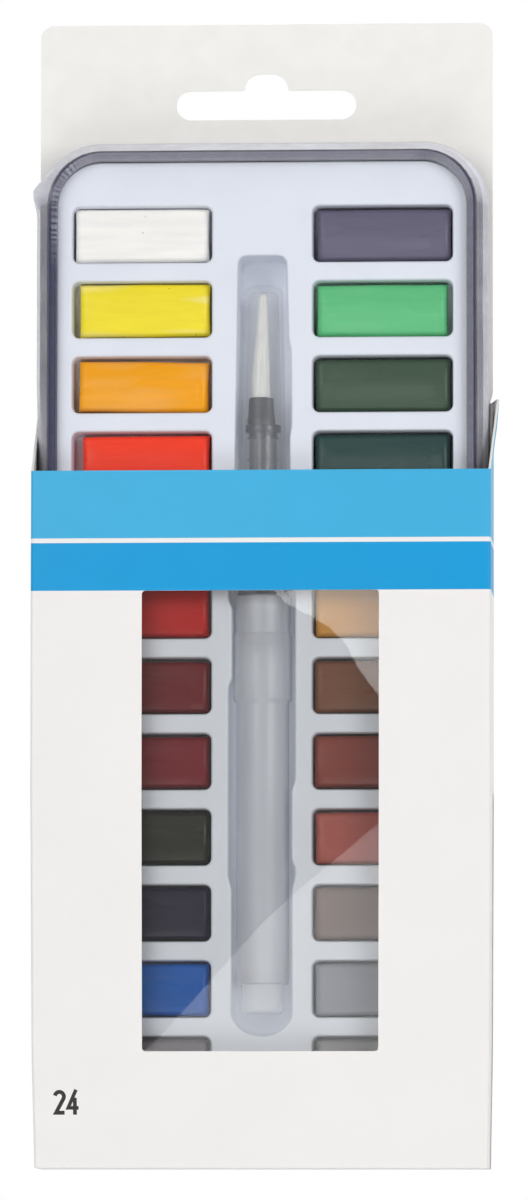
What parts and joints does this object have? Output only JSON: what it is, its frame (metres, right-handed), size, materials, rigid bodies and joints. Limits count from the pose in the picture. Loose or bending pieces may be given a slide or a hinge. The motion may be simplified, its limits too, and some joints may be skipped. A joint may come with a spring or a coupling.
{
  "type": "watercolor pan set",
  "caption": "Shallow tin of watercolour pans round a capped water brush, in a windowed card sleeve that is open at the top and has a hang tab.",
  "frame": {"origin": "middle of the outline seen from the front, on the plane of the back panel", "axes": "+X to the right across the front, +Y up the sleeve to the hang tab, +Z out of the front"},
  "size_m": [0.098, 0.247, 0.0205],
  "materials": {
    "coated_board": "coated white folding boxboard, printed in two blues",
    "clear_film": "clear glossy sheet",
    "shrink_film": "clear shrunk film",
    "navy_tinplate": "navy enamelled tinplate, gloss",
    "white_polystyrene": "white moulded polystyrene, satin",
    "frosted_plastic": "translucent polypropylene",
    "seal_rubber": "pale soft rubber",
    "black_feed": "black porous plastic",
    "grey_ferrule": "dark grey plastic",
    "nylon_bristles": "cream nylon filament",
    "clear_plastic": "clear moulded plastic",
    "white_paint": "dry pressed watercolour paint, satin",
    "lemon_yellow_paint": "dry pressed watercolour paint, satin",
    "golden_yellow_paint": "dry pressed watercolour paint, satin",
    "orange_paint": "dry pressed watercolour paint, satin",
    "vermilion_paint": "dry pressed watercolour paint, satin",
    "scarlet_paint": "dry pressed watercolour paint, satin",
    "crimson_paint": "dry pressed watercolour paint, satin",
    "burgundy_paint": "dry pressed watercolour paint, satin",
    "olive_black_paint": "dry pressed watercolour paint, satin",
    "indigo_paint": "dry pressed watercolour paint, satin",
    "cobalt_blue_paint": "dry pressed watercolour paint, satin",
    "dove_grey_paint": "dry pressed watercolour paint, satin",
    "violet_paint": "dry pressed watercolour paint, satin",
    "light_green_paint": "dry pressed watercolour paint, satin",
    "hooker_green_paint": "dry pressed watercolour paint, satin",
    "viridian_paint": "dry pressed watercolour paint, satin",
    "sap_green_paint": "dry pressed watercolour paint, satin",
    "ochre_paint": "dry pressed watercolour paint, satin",
    "umber_paint": "dry pressed watercolour paint, satin",
    "sienna_paint": "dry pressed watercolour paint, satin",
    "brick_red_paint": "dry pressed watercolour paint, satin",
    "warm_grey_paint": "dry pressed watercolour paint, satin",
    "mid_grey_paint": "dry pressed watercolour paint, satin",
    "cool_grey_paint": "dry pressed watercolour paint, satin"
  },
  "bodies": {
    "sleeve": {"carton": "coated_board", "window_pane": "clear_film"},
    "case": {"base_tin": "navy_tinplate", "lid_tin": "navy_tinplate", "pan_tray": "white_polystyrene", "shrink_band": "shrink_film", "cake_left_01": "white_paint", "cake_left_02": "lemon_yellow_paint", "cake_left_03": "golden_yellow_paint", "cake_left_04": "orange_paint", "cake_left_05": "vermilion_paint", "cake_left_06": "scarlet_paint", "cake_left_07": "crimson_paint", "cake_left_08": "burgundy_paint", "cake_left_09": "olive_black_paint", "cake_left_10": "indigo_paint", "cake_left_11": "cobalt_blue_paint", "cake_left_12": "dove_grey_paint", "cake_right_01": "violet_paint", "cake_right_02": "light_green_paint", "cake_right_03": "hooker_green_paint", "cake_right_04": "viridian_paint", "cake_right_05": "sap_green_paint", "cake_right_06": "ochre_paint", "cake_right_07": "umber_paint", "cake_right_08": "sienna_paint", "cake_right_09": "brick_red_paint", "cake_right_10": "warm_grey_paint", "cake_right_11": "mid_grey_paint", "cake_right_12": "cool_grey_paint"},
    "barrel": {"brush_barrel": "frosted_plastic", "brush_end_plug": "frosted_plastic"},
    "seal": {"brush_seal": "seal_rubber"},
    "head": {"brush_collar": "frosted_plastic", "brush_feed": "black_feed", "brush_ferrule": "grey_ferrule", "brush_bristles": "nylon_bristles"},
    "cap": {"brush_cap": "clear_plastic"}
  },
  "joints": [
    {"name": "case_slide", "type": "slide", "parent": "sleeve", "child": "case", "axis": [0, 1, 0], "range_m": [0, 0.247]},
    {"name": "brush_lift", "type": "slide", "parent": "case", "child": "barrel", "axis": [0, 0, 1], "range_m": [0, 0.0026]},
    {"name": "head_advance", "type": "slide", "parent": "barrel", "child": "seal", "axis": [0, 1, 0], "range_m": [0, 0.00225]},
    {"name": "head_turn", "type": "hinge", "parent": "seal", "child": "head", "pos_m": [0, -0.00143, 0.01055], "axis": [0, 1, 0], "range_deg": [0, 540]},
    {"name": "cap_pull", "type": "slide", "parent": "head", "child": "cap", "axis": [0, 1, 0], "range_m": [0, 0.003]}
  ],
  "couplings": [
    {"joint": "head_turn", "follows": "head_advance", "rad_per_m": 4188.8}
  ]
}
